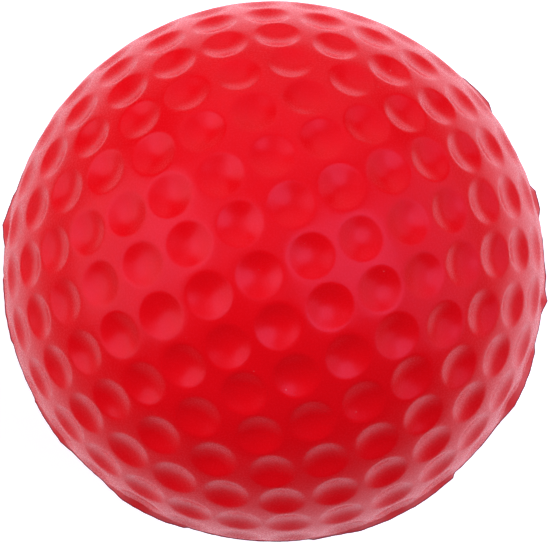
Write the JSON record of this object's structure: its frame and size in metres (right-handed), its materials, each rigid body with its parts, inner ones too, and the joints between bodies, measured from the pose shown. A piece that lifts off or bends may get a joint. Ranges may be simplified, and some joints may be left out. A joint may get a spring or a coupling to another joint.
{
  "type": "foam golf ball",
  "caption": "Soft practice golf ball of self-skinned foam: a dimpled skin in two moulded halves, a trimmed parting web between them and a light foam filling.",
  "frame": {"origin": "centre of the ball, on the plane of the parting line", "axes": "+Z along the mould axis, so that the parting line lies in the XY plane; X and Y along two of the dimple pattern's great circles"},
  "size_m": [0.0431, 0.0431, 0.0428],
  "materials": {
    "skin": "satin moulded skin",
    "web": "satin with a matt knife cut",
    "foam": "matt closed-cell foam"
  },
  "bodies": {
    "root": {"foam_core": "foam", "lower_skin": "skin", "upper_skin": "skin", "parting_web": "web"}
  },
  "joints": []
}
